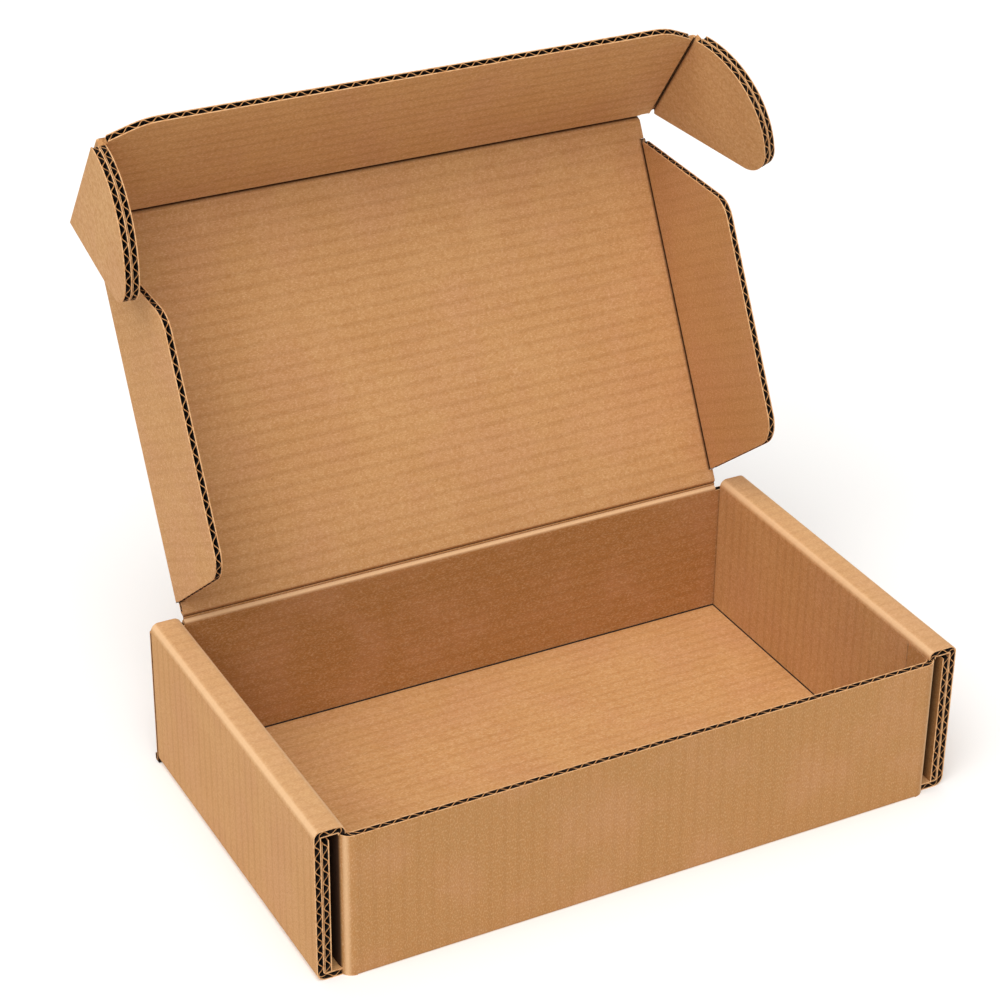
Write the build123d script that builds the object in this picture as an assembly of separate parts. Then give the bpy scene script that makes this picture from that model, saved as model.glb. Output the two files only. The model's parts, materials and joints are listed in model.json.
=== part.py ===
from build123d import *
import os
from math import hypot

# A roll-end mailer of corrugated board, standing open. Millimetres, +X right, +Y to the back, +Z up.
# The origin is the centre of the base's underside. One die-cut sheet is folded into a tray with
# rolled-over side walls, and the lid, tuck flap, side flaps and ears hang on its creases.

# Board
BOARD = 3.3           # thickness of one ply of the board
LINER = 0.45          # thickness of a liner, one of its two flat sheets
MEDIUM = 0.5          # thickness of the wavy sheet between the liners
FLUTE_PITCH = 6.35    # from one wave of that sheet to the next
FLUTE_DEPTH = 3.5     # how far the open flutes are hollow behind a cut edge
FLUTE_TAPER = 8.0     # how many degrees a flute's sides close, so that flutes stay apart round a corner
CREASE_GAP = 0.3      # running gap between a crease's round and the panel that turns on it
FOLD_RADIUS = 2.6     # outside radius where a panel is folded

# Tray
WIDTH = 300.0         # outside, over both side walls
DEPTH = 176.0         # outside, from the front wall's face to the back wall's
HEIGHT = 72.0         # to the top of the rolled side walls
SLOT = 3.9            # slot beside the front wall, where an ear's ply slides in
FRONT_SETBACK = 3.0   # side walls' raw front edges stand this far behind the front wall's face
FRONT_DROP = 4.4      # front wall's top below the side walls' top
BACK_INSET = 1.0      # back wall's rounded ends stand in from the side walls' faces
RETURN = 15.0         # how far each end of the front wall turns back inside the side wall
BUTT_GAP = 0.6        # open joint where one ply ends against another

# Lid and its side flaps, measured from the creases on the board's mid-plane
HINGE_DROP = 2.4      # lid crease below the side walls' top
LID_SIDE_GAP = 0.4    # closed lid to the inner wall
LID_FRONT_GAP = 0.35  # closed tuck flap to the front wall
FLAP_DEPTH = 65.0     # crease to free edge of a lid side flap
FLAP_START = 7.0      # side flap's crease starts this far up the lid
FLAP_END = 11.0       # and ends this far short of the tuck crease
FLAP_LOW_TAPER = 12.0   # how far its lower edge slants over its depth
FLAP_HIGH_TAPER = 38.0  # how far its upper edge slants
FLAP_CORNER = 13.0    # radius of its free corners

# Tuck flap and its two doubled ears
TUCK_LENGTH = 69.5    # crease to free edge
TUCK_CUT_RUN = 18.0   # slanted free corner, along the free edge
TUCK_CUT_DROP = 10.0  # slanted free corner, down the ear's crease
TUCK_CORNER = 25.0    # radius between that slant and the free edge
EAR_START = 2.5       # ear's crease starts this far down the tuck flap
EAR_REACH = 65.0      # crease to the ear's tip
EAR_TIP = 32.0        # how far down the tuck flap that tip lies
EAR_FAN_OUT = 38.0    # a point that the fan's curve passes through: out from the crease
EAR_FAN_DOWN = 62.5   # and down the tuck flap
EAR_CORNER = 12.0     # radius where the straight edge meets the fan's curve

# Standing pose: how far each panel is turned about its crease
LID_LEAN = 28.0       # lid back from upright
TUCK_FOLD = 64.0      # tuck flap from the lid's plane, towards the inside
FLAP_FOLD = 90.0      # side flaps from the lid's plane
EAR_FOLD_RIGHT = 72.0  # ears from the tuck flap's plane
EAR_FOLD_LEFT = 88.0

# Places that follow from the sizes above
HALF = BOARD / 2
ROOT = HALF + CREASE_GAP                     # where a turning panel starts, from its crease
STRIP = 3 * BOARD + SLOT                     # width of a rolled side wall
INNER_X = WIDTH / 2 - STRIP                  # inside face of a side wall
FRONT_Y = -DEPTH / 2                         # front wall's outside face
EDGE_Y = FRONT_Y + FRONT_SETBACK             # side walls' raw front edges
BACK_Y = DEPTH / 2 - BOARD                   # back wall's inside face
FRONT_TOP = HEIGHT - FRONT_DROP
HINGE_Y = BACK_Y + HALF
HINGE_Z = HEIGHT - HINGE_DROP
LID_X = INNER_X - LID_SIDE_GAP - HALF        # creases of the lid's side flaps
LID_LENGTH = HINGE_Y - (FRONT_Y - LID_FRONT_GAP - HALF)
EAR_X = WIDTH / 2 - 2 * BOARD - SLOT / 2     # creases of the ears, over the slots
EAR_TOP = TUCK_LENGTH - TUCK_CUT_DROP        # where an ear's crease ends
FLUTE_STEP = FLUTE_PITCH / 2                 # from a flute to the next one, which points the other way

AHEAD = Vector(0, 1, 0)
ASIDE = Vector(1, 0, 0)
UP = Vector(0, 0, 1)


def slab(outline, low, high):
    """A flat outline given as an XY face, made solid between two heights."""
    return extrude(Pos(0, 0, low) * outline, high - low)


def block(x, y, z):
    """A plain box between low and high values on each axis."""
    return Pos(x[0], y[0], z[0]) * Box(x[1] - x[0], y[1] - y[0], z[1] - z[0],
                                       align=(Align.MIN, Align.MIN, Align.MIN))


def crease_round(start, end):
    """The round of a crease along Y: a bar of the board's thickness."""
    bar = Cylinder(HALF, end - start, align=(Align.CENTER, Align.CENTER, Align.MIN))
    return Pos(0, start, 0) * Rot(-90, 0, 0) * bar


def crease_room():
    """What a panel at +X of a crease along Y leaves free, to turn towards +Z about a neighbour's round."""
    length = 2 * WIDTH
    step = block((-ROOT, ROOT), (-WIDTH, WIDTH), (0, BOARD))
    return Rot(-90, 0, 0) * Cylinder(ROOT, length) + step


def open_flute():
    """The hollow of one flute behind a cut edge: a triangle between the liners, running along +Z."""
    inset = HALF - LINER
    leg = hypot(FLUTE_STEP, 2 * inset)
    base = FLUTE_STEP - MEDIUM / 2 * leg / (2 * inset)
    apex = 2 * inset * base / FLUTE_STEP - inset
    section = make_face(Polyline((-base, -inset), (base, -inset), (0, apex), close=True))
    return extrude(Pos(0, 0, -LINER) * section, LINER + FLUTE_DEPTH, taper=FLUTE_TAPER)


def flutes(path, normal, core, margin=FLUTE_STEP):
    """Open flutes along a cut edge, pointing to one face and the other in turn.

    The path runs on the ply's mid-plane, normal is square to the ply, and core is a point inside it.
    """
    hollow = open_flute()
    count = int((path.length - 2 * margin) / FLUTE_STEP) + 1
    first = (path.length - (count - 1) * FLUTE_STEP) / 2
    hollows = []
    for index in range(count):
        place = first + index * FLUTE_STEP
        point = path.position_at(place, position_mode=PositionMode.LENGTH)
        along = path.tangent_at(place, position_mode=PositionMode.LENGTH)
        inward = normal.cross(along)
        if inward.dot(core - point) < 0:
            inward = -inward
        facing = along if index % 2 else -along
        hollows.append(Plane(point, facing, inward).location * hollow)
    return hollows


def side_channel():
    """One side's rolled wall in section: floor edge, outer wall, top strip and inner wall, along Y."""
    middle = (WIDTH / 2 + INNER_X) / 2
    body = Plane.XZ * Pos(middle, HEIGHT / 2) * Rectangle(STRIP, HEIGHT)
    rolled = [v for v in body.vertices() if v.Z > HEIGHT / 2 or v.X > middle]
    body = fillet(rolled, FOLD_RADIUS)
    hollow = Plane.XZ * Pos(middle, HEIGHT / 2) * Rectangle(STRIP - 2 * BOARD, HEIGHT - 2 * BOARD)
    end = BACK_Y - BUTT_GAP
    return Pos(0, end, 0) * extrude(body - hollow, end - EDGE_Y)


def long_flap():
    """The back wall's dust flap, flat against the outer wall and as long as it."""
    out = WIDTH / 2 - BOARD
    return block((out - BOARD, out), (EDGE_Y, HINGE_Y), (HALF, HEIGHT - HALF))


def side_flutes():
    """Open flutes of a side wall's front end: its two plies, the top strip and the floor's edge."""
    core = Vector(WIDTH / 2, 0, HEIGHT / 2)
    cuts = []
    for x in (WIDTH / 2 - HALF, WIDTH / 2 - BOARD - HALF):
        cuts += flutes(Line((x, EDGE_Y, BOARD), (x, EDGE_Y, HEIGHT - BOARD)), ASIDE, core)
    for start, z in ((INNER_X, HEIGHT - HALF), (INNER_X + BOARD, HALF)):
        cuts += flutes(Line((start + LINER, EDGE_Y, z), (WIDTH / 2 - LINER, EDGE_Y, z)), UP, core)
    return cuts


def side_wall():
    """Right-hand rolled wall with the long flap in it, open in front for the front wall's return."""
    room = block((INNER_X - BOARD, INNER_X + BOARD), (FRONT_Y, FRONT_Y + BOARD + RETURN + BUTT_GAP),
                 (BOARD, HEIGHT - BOARD))
    return (side_channel() - room) + long_flap() - side_flutes()


def front_wall():
    """Front wall with both ends turned back in line with the inner walls."""
    depth = BOARD + RETURN
    plan = Pos(0, FRONT_Y + depth / 2) * Rectangle(2 * (INNER_X + BOARD), depth)
    plan = fillet([v for v in plan.vertices() if v.Y < FRONT_Y + BOARD], FOLD_RADIUS + BOARD)
    inside = Pos(0, FRONT_Y + BOARD + depth / 2) * Rectangle(2 * INNER_X, depth)
    inside = fillet([v for v in inside.vertices() if v.Y < FRONT_Y + depth / 2], FOLD_RADIUS)
    wall = slab(plan - inside, 0, FRONT_TOP)
    foot = Plane.YZ * Pos(0, HEIGHT / 2) * Rectangle(DEPTH, HEIGHT)
    foot = fillet([v for v in foot.vertices() if v.Y < 0 and v.Z < HEIGHT / 2], FOLD_RADIUS)
    wall = wall & extrude(foot, WIDTH / 2, both=True)
    end = INNER_X - FOLD_RADIUS
    top = Line((-end, FRONT_Y + HALF, FRONT_TOP), (end, FRONT_Y + HALF, FRONT_TOP))
    return wall - flutes(top, AHEAD, Vector(0, FRONT_Y, 0))


def back_wall():
    """Back wall with rounded ends and foot, and the round of the lid's crease along its top."""
    half = WIDTH / 2 - BACK_INSET
    face = Plane.YZ * Pos(HINGE_Y, HINGE_Z / 2) * Rectangle(BOARD, HINGE_Z)
    face = fillet([v for v in face.vertices() if v.Y > HINGE_Y and v.Z < HINGE_Z / 2], FOLD_RADIUS)
    wall = extrude(face, half, both=True)
    ends = [e for e in wall.edges().filter_by(Axis.Z) if e.center().Y > HINGE_Y]
    wall = fillet(ends, FOLD_RADIUS - CREASE_GAP)
    return wall + Pos(0, HINGE_Y, HINGE_Z) * Rot(0, 0, -90) * crease_round(-LID_X, LID_X)


def make_tray():
    """Floor and walls as the one folded sheet they are."""
    floor = block((-INNER_X, INNER_X), (EDGE_Y, HINGE_Y), (0, BOARD))
    side = side_wall()
    return floor + side + mirror(side, about=Plane.YZ) + front_wall() + back_wall()


def make_lid():
    """The lid's panel, with the rounds of its three creases."""
    panel = block((-LID_X, LID_X), (ROOT, LID_LENGTH), (-HALF, HALF))
    panel += Pos(0, LID_LENGTH, 0) * Rot(0, 0, -90) * crease_round(-LID_X, LID_X)
    for x in (-LID_X, LID_X):
        panel += Pos(x, 0, 0) * crease_round(FLAP_START, LID_LENGTH - FLAP_END)
    return panel


def flap_outline():
    """Right-hand side flap in its own plane: X from its crease, Y up the lid."""
    low, high = FLAP_START, LID_LENGTH - FLAP_END
    shape = make_face(Polyline((0, low), (FLAP_DEPTH, low + FLAP_LOW_TAPER),
                               (FLAP_DEPTH, high - FLAP_HIGH_TAPER), (0, high), close=True))
    return fillet([v for v in shape.vertices() if v.X > HALF], FLAP_CORNER)


def tuck_outline():
    """The tuck flap in its own plane: X along its crease, Y to its free edge, with slanted corners."""
    top = EAR_X - TUCK_CUT_RUN
    shape = make_face(Polyline((-EAR_X, 0), (EAR_X, 0), (EAR_X, EAR_TOP), (top, TUCK_LENGTH),
                               (-top, TUCK_LENGTH), (-EAR_X, EAR_TOP), close=True))
    return fillet([v for v in shape.vertices() if v.Y > TUCK_LENGTH - HALF], TUCK_CORNER)


def ear_outline():
    """Right-hand ear in its own plane: a straight slanting edge, and a fan's curve to the tuck's corner."""
    tip = (EAR_REACH, EAR_TIP)
    slant = Line((0, EAR_START), tip)
    fan = ThreePointArc(tip, (EAR_FAN_OUT, EAR_FAN_DOWN), (0, EAR_TOP))
    shape = make_face([slant, fan, Line((0, EAR_TOP), (0, EAR_START))])
    return fillet([v for v in shape.vertices() if v.X > HALF], EAR_CORNER)


def rim_flutes(rim, core):
    """Open flutes along the cut edges of a panel that lies in XY, clear of its creases."""
    return flutes(Wire(rim), UP, core, margin=ROOT + FLUTE_STEP)


def make_flap():
    """Right-hand side flap of the lid."""
    outline = flap_outline()
    rim = [e for e in outline.edges() if e.center().X > HALF]
    return slab(outline, -HALF, HALF) - crease_room() - rim_flutes(rim, outline.center())


def make_tuck():
    """The tuck flap, with the rounds of its ears' creases along its ends."""
    outline = tuck_outline()
    panel = slab(outline, -HALF, HALF)
    for x in (-EAR_X, EAR_X):
        panel += Pos(x, 0, 0) * crease_round(EAR_START, EAR_TOP)
    rim = [e for e in outline.edges() if e.center().Y > EAR_TOP]
    return panel - Rot(0, 0, 90) * crease_room() - rim_flutes(rim, outline.center())


def make_ear():
    """Right-hand ear: the ply on the crease, and a second ply glued to its outside."""
    outline = ear_outline()
    second = outline & Pos(ROOT + WIDTH / 2, 0) * Rectangle(WIDTH, WIDTH)
    rim = [e for e in outline.edges() if e.center().X > HALF]
    hollows = rim_flutes(rim, outline.center())
    ear = slab(outline, -HALF, HALF) - crease_room() + slab(second, -HALF - BOARD, -HALF)
    return ear - hollows - [Pos(0, 0, -BOARD) * hollow for hollow in hollows]


def save(name, solid):
    """Write one node's STEP file."""
    export_step(solid, f"parts/{name}.step")


os.makedirs("parts", exist_ok=True)

lid_plane = Plane(origin=(0, HINGE_Y, HINGE_Z), x_dir=(1, 0, 0), z_dir=(0, -1, 0))
lid_at = Location(lid_plane) * Location((0, 0, 0), (-LID_LEAN, 0, 0))
tuck_at = lid_at * Location((0, LID_LENGTH, 0), (TUCK_FOLD, 0, 0))

flap = make_flap()
ear = make_ear()

save("tray", make_tray())
save("lid", lid_at * make_lid())
save("tuck_flap", tuck_at * make_tuck())
save("side_flap_right", lid_at * Location((LID_X, 0, 0), (0, -FLAP_FOLD, 0)) * flap)
save("side_flap_left", lid_at * Location((-LID_X, 0, 0), (0, FLAP_FOLD, 0)) * mirror(flap, about=Plane.YZ))
save("ear_right", tuck_at * Location((EAR_X, 0, 0), (0, -EAR_FOLD_RIGHT, 0)) * ear)
save("ear_left", tuck_at * Location((-EAR_X, 0, 0), (0, EAR_FOLD_LEFT, 0)) * mirror(ear, about=Plane.YZ))
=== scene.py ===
"""Looks of an open roll-end mailer of kraft corrugated board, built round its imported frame.

Sizes are in millimetres, and points go to metres in the row frame only when a mesh is made.
"""
import json
import logging
import math
from bisect import bisect_right
from collections.abc import Callable, Sequence
from dataclasses import dataclass, field
from enum import Enum, IntEnum
from random import Random

import bmesh
import bpy
from mathutils import Matrix, Vector


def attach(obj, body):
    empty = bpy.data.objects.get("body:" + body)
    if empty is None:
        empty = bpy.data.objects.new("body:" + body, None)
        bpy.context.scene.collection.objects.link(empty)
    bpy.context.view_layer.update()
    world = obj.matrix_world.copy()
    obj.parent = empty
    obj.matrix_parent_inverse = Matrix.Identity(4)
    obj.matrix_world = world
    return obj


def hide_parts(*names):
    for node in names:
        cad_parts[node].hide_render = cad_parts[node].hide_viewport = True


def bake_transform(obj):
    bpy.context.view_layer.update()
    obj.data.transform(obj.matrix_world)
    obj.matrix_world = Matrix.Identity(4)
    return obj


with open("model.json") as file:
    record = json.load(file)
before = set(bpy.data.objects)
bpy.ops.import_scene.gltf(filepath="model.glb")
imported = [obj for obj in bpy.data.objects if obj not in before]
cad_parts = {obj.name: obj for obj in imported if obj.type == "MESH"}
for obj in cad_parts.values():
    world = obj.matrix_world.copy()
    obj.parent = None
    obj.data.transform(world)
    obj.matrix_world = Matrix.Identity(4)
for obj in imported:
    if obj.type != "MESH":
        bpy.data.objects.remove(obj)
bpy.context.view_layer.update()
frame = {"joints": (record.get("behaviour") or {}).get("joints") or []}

LOG = logging.getLogger("mailer")
MM = 0.001
Surface = Callable[[float, float, float], Vector]
Rim = Callable[[float], tuple[Vector, Vector]]
Shade = Callable[[Vector, Vector, float], float]
Colour = tuple[float, float, float, float]
Socket = bpy.types.NodeSocket
Tree = bpy.types.NodeTree
WELD = 2e-6
SHARP = math.radians(32)
# No rub and no painted light.
NO_WEAR_OR_LIGHT = 0.0


class Tone(IntEnum):
    """Which of a board's finishes a face takes."""

    LINER = 0
    RAW = 1
    # Painted shade: the flutes' dark inside, also used on the liners' inner faces and in creases
    # and corners.
    HOLLOW = 2
    MEDIUM = 3


class Side(Enum):
    """Left and right as the front wall faces the viewer."""

    LEFT = -1
    RIGHT = 1

    @property
    def word(self) -> str:
        """The side's name as the nodes spell it."""
        return self.name.lower()


@dataclass(frozen=True)
class Board:
    """Single-wall corrugated board: two liners and a wavy medium between them.

    Args:
        thickness: from face to face.
        liner: thickness of each liner.
        medium: thickness of the wavy sheet.
        bite: how far its crests sink into the liners.
        pitch: from one flute to the next.
        stray: how far a crest strays, as a share of half a pitch.
        lowest: height of the lowest crest, as a share of the full one.
        depth: how deep the flutes are open behind a cut edge.
        shallow: that depth at the end of a cut edge.
        taper: how fast the flutes deepen from there.
        backing: how far the dark wall of painted shade stands in front of the ribbon's end.
        margin: from a corner to the first flute.
        fold: mid-plane radius of a fold.
        gap: from a moving crease to the tip of its crushed strip.
        land: from a crease's cut to the plain panel.
        seam: how far a liner stands back from a ply that lies against it.
    """

    thickness: float = 3.3
    liner: float = 0.5
    medium: float = 0.36
    bite: float = 0.06
    pitch: float = 6.35
    stray: float = 0.09
    lowest: float = 0.96
    depth: float = 7.0
    shallow: float = 0.8
    taper: float = 1.2
    backing: float = 0.5
    margin: float = 0.3
    fold: float = 1.8
    gap: float = 0.35
    land: float = 0.9
    seam: float = 0.3

    @property
    def half(self) -> float:
        """Mid-plane to face."""
        return self.thickness / 2

    @property
    def crest(self) -> float:
        """How far the middle of the medium swings."""
        return self.half - self.liner - self.medium / 2 + self.bite


BOARD = Board()


@dataclass(frozen=True)
class Fold:
    """How a crease stands and how far it turns, in degrees from flat.

    Args:
        rest: its angle in the standing box.
        inner: the furthest that it folds to the upper face.
        outer: the furthest that it folds to the lower face.
    """

    rest: float
    inner: float
    outer: float = 0.0

    @property
    def reach(self) -> float:
        """How far the crease's crushed strip reaches into each panel."""
        return self.cut(max(self.inner, self.outer)) + BOARD.land

    @staticmethod
    def cut(angle: float) -> float:
        """How far a face stops short of the crease, to clear its neighbour folded by an angle."""
        return BOARD.half * math.tan(math.radians(angle) / 2) + BOARD.gap


@dataclass(frozen=True)
class Creases:
    """The creases that move, as the frame's joints give them."""

    lid: dict = field(default_factory=lambda: joint_named("lid"))
    tuck: dict = field(default_factory=lambda: joint_named("tuck"))
    flap: dict = field(default_factory=lambda: joint_named("side_flap_right"))
    ears: dict = field(default_factory=lambda: {s: joint_named(f"ear_{s.word}") for s in Side})

    @property
    def lid_fold(self) -> Fold:
        """The lid's crease: it leans back from upright, and opens as far as flat."""
        low, high = self.lid["range_deg"]
        return Fold(rest=90 + low, inner=high - 90 - low, outer=90)

    @property
    def tuck_fold(self) -> Fold:
        """The tuck flap's crease: it unfolds as far as flat."""
        low, high = self.tuck["range_deg"]
        return Fold(rest=high, inner=high - low)

    @property
    def flap_fold(self) -> Fold:
        """The side flaps' creases: they open as far as flat."""
        low, high = self.flap["range_deg"]
        return Fold(rest=-low, inner=high - low)

    def ear_fold(self, side: Side) -> Fold:
        """An ear's crease: it opens as far as flat."""
        low, high = self.ears[side]["range_deg"]
        return Fold(rest=-low, inner=high - low)

    @property
    def hinge(self) -> Vector:
        """A point on the lid's crease, in millimetres."""
        return Vector(self.lid["pos_m"]) / MM

    @property
    def far(self) -> Vector:
        """A point on the tuck flap's crease, in millimetres."""
        return Vector(self.tuck["pos_m"]) / MM


def joint_named(name: str) -> dict:
    """The frame's joint at the crease of that name."""
    return next(j for j in frame["joints"] if j["name"] == f"{name}_crease")


def turned(vector: Vector, angle: float) -> Vector:
    """A flat vector turned left by an angle in radians."""
    c, s = math.cos(angle), math.sin(angle)
    return Vector((c * vector.x - s * vector.y, s * vector.x + c * vector.y))


@dataclass
class Route:
    """A line in a plane with rounded corners, followed by distance.

    Args:
        corners: the points that it runs to.
        radii: the radius at each corner between the first and the last.
        arc_step: how far a rounded corner turns from one sample to the next.
        rub_focus: how closely the rub and painted highlight keep to the middle of a fold.
    """

    corners: Sequence[tuple[float, float]]
    radii: Sequence[float] = ()
    arc_step: float = math.radians(7.5)
    rub_focus: float = 5

    def __post_init__(self) -> None:
        """Works out the samples: distance, point, direction, and the fold's rub and painted
        highlight there.
        """
        points = [Vector(c) for c in self.corners]
        self.spots: list[tuple[float, Vector, Vector, float]] = []
        last = points[0]
        self._add(last, (points[1] - last).normalized(), NO_WEAR_OR_LIGHT)
        corners = zip(points, points[1:], points[2:], self.radii)
        for before, corner, after, radius in corners:
            first, second = (corner - before).normalized(), (after - corner).normalized()
            turn = math.atan2(first.x * second.y - first.y * second.x, first.dot(second))
            reach = radius * math.tan(abs(turn) / 2)
            begin = corner - first * reach
            centre = begin + turned(first, math.copysign(math.pi / 2, turn)) * radius
            steps = max(1, math.ceil(abs(turn) / self.arc_step))
            self._add(begin, first, NO_WEAR_OR_LIGHT)
            arm = begin - centre
            for step in range(1, steps + 1):
                part = turn * step / steps
                # Painted highlight along the middle of a rounded fold, with some rub in it.
                rubbed = math.sin(math.pi * step / steps) ** self.rub_focus
                self._add(centre + turned(arm, part), turned(first, part), rubbed)
        self._add(points[-1], (points[-1] - points[-2]).normalized(), NO_WEAR_OR_LIGHT)

    def _add(self, point: Vector, direction: Vector, rubbed: float) -> None:
        """Adds a sample at the end."""
        along = self.spots[-1][0] + (point - self.spots[-1][1]).length if self.spots else 0.0
        self.spots.append((along, point, direction, rubbed))

    @property
    def length(self) -> float:
        """From the first point to the last along the line."""
        return self.spots[-1][0]

    @property
    def ring(self) -> list[Vector]:
        """The points that the line runs through."""
        return [spot[1] for spot in self.spots]

    def at(self, along: float) -> tuple[Vector, Vector]:
        """Point and direction at a distance; past an end it goes straight on.

        Args:
            along: distance from the first point.

        Returns:
            The point and the unit direction there.
        """
        index = bisect_right([spot[0] for spot in self.spots], along)
        index = min(max(index, 1), len(self.spots) - 1)
        start, end = self.spots[index - 1], self.spots[index]
        if not start[0] <= along <= end[0] or end[0] - start[0] < 1e-9:
            near = start if along < start[0] else end
            return near[1] + near[2] * (along - near[0]), near[2]
        share = (along - start[0]) / (end[0] - start[0])
        return start[1].lerp(end[1], share), start[2].lerp(end[2], share).normalized()


class Draft:
    """Points and faces of one piece, gathered before its mesh is made."""

    def __init__(self) -> None:
        """Starts empty."""
        self.mesh = bmesh.new()
        # Per-point rub and painted light: rub and painted highlight above zero, painted shade below
        # zero.
        self.wear = self.mesh.verts.layers.float.new("wear")

    def grid(self, rows: Sequence[Sequence[Vector]], tone: Tone,
             wear: Sequence[float] = ()) -> None:
        """Faces between rows of points that have as many points each.

        Args:
            rows: the points, row by row.
            tone: the faces' finish.
            wear: for each point of a row, rub and painted highlight above zero and painted shade
                below zero.
        """
        made = [[self.mesh.verts.new(point) for point in row] for row in rows]
        for row in made:
            for vert, rubbed in zip(row, wear):
                vert[self.wear] = rubbed
        for above, below in zip(made, made[1:]):
            for index in range(len(above) - 1):
                face = (above[index], above[index + 1], below[index + 1], below[index])
                self.mesh.faces.new(face).material_index = tone

    def plate(self, ring: Sequence[Vector], tone: Tone, wear: Sequence[float] = ()) -> None:
        """One flat face, whose corners may take rub and painted highlight above zero and painted
        shade below zero.
        """
        made = [self.mesh.verts.new(point) for point in ring]
        for vert, rubbed in zip(made, wear):
            vert[self.wear] = rubbed
        self.mesh.faces.new(made).material_index = tone

    def slab(self, ring: Sequence[Vector], low: float, high: float, surface: Surface,
             tones: tuple[Tone, Tone, Tone]) -> None:
        """A closed outline made solid between two heights of a surface.

        Args:
            ring: the outline, in the surface's first two coordinates.
            low: its lower height.
            high: its upper height.
            surface: where a point of the board lies.
            tones: finishes of the lower face, the upper face and the edge.
        """
        rows = [[surface(p.x, p.y, w) for p in ring] for w in (low, high)]
        self.plate(rows[0], tones[0])
        self.plate(rows[1], tones[1])
        self.grid([row + row[:1] for row in rows], tones[2])

    def prism(self, section: Sequence[tuple[float, float]], start: float, end: float,
              surface: Surface, tones: Sequence[Tone], wear: Sequence[float] = ()) -> None:
        """A section in the surface's first and third coordinates, run along its second.

        Args:
            section: the closed section.
            start: where it begins along the second coordinate.
            end: where it ends.
            surface: where a point of the board lies.
            tones: the finish of each side of the section in turn; its ends are medium.
            wear: for each point of the section, as for a grid.
        """
        rings = [[surface(u, v, w) for u, w in section] for v in (start, end)]
        wear = wear or [NO_WEAR_OR_LIGHT] * len(section)
        for index, tone in enumerate(tones):
            after = (index + 1) % len(section)
            side = [rings[0][index], rings[0][after], rings[1][after], rings[1][index]]
            self.plate(side, tone, [wear[index], wear[after], wear[after], wear[index]])
        for ring in rings:
            self.plate(ring, Tone.MEDIUM, wear)

    def finish(self, name: str, finishes: Sequence[bpy.types.Material]) -> bpy.types.Object:
        """Makes the mesh, smooth over its folds and sharp at its cut edges.

        Args:
            name: the piece's name.
            finishes: its materials, in the order of Tone.

        Returns:
            The new object.
        """
        bmesh.ops.remove_doubles(self.mesh, verts=self.mesh.verts, dist=WELD)
        bmesh.ops.recalc_face_normals(self.mesh, faces=self.mesh.faces)
        made = bpy.data.meshes.new(name)
        self.mesh.to_mesh(made)
        self.mesh.free()
        for finish in finishes:
            made.materials.append(finish)
        made.polygons.foreach_set("use_smooth", [True] * len(made.polygons))
        made.set_sharp_from_angle(angle=SHARP)
        piece = bpy.data.objects.new(name, made)
        bpy.context.scene.collection.objects.link(piece)
        return piece


def medium_line(length: float, dice: Random, samples: int = 7) -> list[tuple[float, float]]:
    """The wavy medium seen end on, a little uneven: distance along the edge and height.

    Args:
        length: of the cut edge.
        dice: seeded source of the unevenness.
        samples: points from one crest to the next.

    Returns:
        Points of its middle line.
    """
    halves = max(2, round(length / (BOARD.pitch / 2)))
    step, stray = length / halves, BOARD.stray
    knots = [step * (k + (dice.uniform(-stray, stray) if 0 < k < halves else 0))
             for k in range(halves + 1)]
    crests = [BOARD.crest * (-1) ** k * dice.uniform(BOARD.lowest, 1.0) for k in range(halves + 1)]
    line = []
    for start, end, low, high in zip(knots, knots[1:], crests, crests[1:]):
        for sample in range(samples):
            share = sample / samples
            ease = (1 - math.cos(math.pi * share)) / 2
            line.append((start + (end - start) * share, low + (high - low) * ease))
    line.append((knots[-1], crests[-1]))
    return line


def add_flutes(draft: Draft, surface: Surface, rim: Rim, start: float, end: float, seed: int,
               middle: float = 0.0) -> None:
    """The open flutes behind a cut edge: the medium's ribbon and a dark wall of painted shade.

    Args:
        draft: the piece that they belong to.
        surface: where a point of the board lies.
        rim: point and inward direction at a distance along the edge.
        start: where the flutes begin along the rim.
        end: where they end.
        seed: of their unevenness.
        middle: height of the ply's mid-plane.
    """
    line = medium_line(end - start, Random(seed))
    rows: list[list[Vector]] = [[], [], [], []]
    wall: list[list[Vector]] = [[], []]
    room = BOARD.half - BOARD.liner / 2
    for index, (along, height) in enumerate(line):
        before, after = line[max(index - 1, 0)], line[min(index + 1, len(line) - 1)]
        slope = Vector((after[0] - before[0], after[1] - before[1])).normalized()
        inset = min(along, end - start - along)
        deep = min(BOARD.depth, BOARD.shallow + BOARD.taper * inset)
        for side, (outer, inner) in ((1, (0, 1)), (-1, (3, 2))):
            shift = BOARD.medium / 2 * side
            point, inward = rim(start + along - slope.y * shift)
            lift = middle + height + slope.x * shift
            for row, depth in ((outer, 0.0), (inner, deep)):
                place = point + inward * depth
                rows[row].append(surface(place.x, place.y, lift))
        # A dark wall of painted shade stands in for the flutes' deep inside.
        point, inward = rim(start + along)
        back = point + inward * (deep - BOARD.backing)
        for row, lift in enumerate((-room, room)):
            wall[row].append(surface(back.x, back.y, middle + lift))
    # The ribbon's sides and the wall take the flutes' painted shade; its cut end is plain medium.
    draft.grid(rows, Tone.HOLLOW)
    draft.grid([rows[3], rows[0]], Tone.MEDIUM)
    draft.grid(wall, Tone.HOLLOW)


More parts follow.
